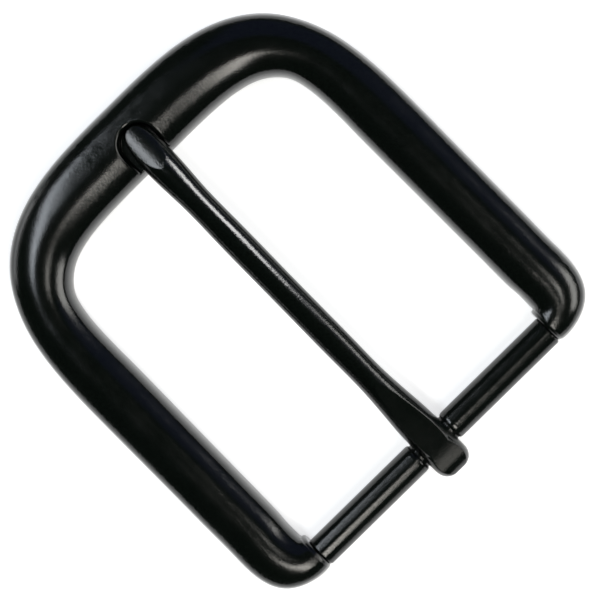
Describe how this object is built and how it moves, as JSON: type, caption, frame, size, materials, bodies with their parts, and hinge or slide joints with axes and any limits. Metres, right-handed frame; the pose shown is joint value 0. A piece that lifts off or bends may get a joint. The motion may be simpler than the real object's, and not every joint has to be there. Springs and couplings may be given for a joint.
{
  "type": "belt buckle",
  "caption": "Belt buckle with a domed D-shaped frame, a heel bar for the strap across its open end, and a swinging prong whose tip rests in a notch.",
  "frame": {"origin": "middle of the heel bar's axis, which is also the prong's pivot", "axes": "+X from the heel bar to the front of the frame and the prong's tip, +Y along the heel bar, +Z out of the domed face that is seen when the belt is worn"},
  "size_m": [0.0622, 0.0552, 0.0092],
  "materials": {
    "coated_frame": "satin black coating with a fine grain over a zinc casting",
    "coated_bar": "satin black coating over a turned steel bar",
    "coated_prong": "satin black coating, a little glossier, over a cast prong"
  },
  "bodies": {
    "frame": {"frame": "coated_frame", "heel_bar": "coated_bar"},
    "prong": {"prong": "coated_prong"}
  },
  "joints": [
    {"name": "prong_pivot", "type": "hinge", "parent": "frame", "child": "prong", "pos_m": [0, 0, 0], "axis": [0, -1, 0], "range_deg": [0, 165]}
  ]
}
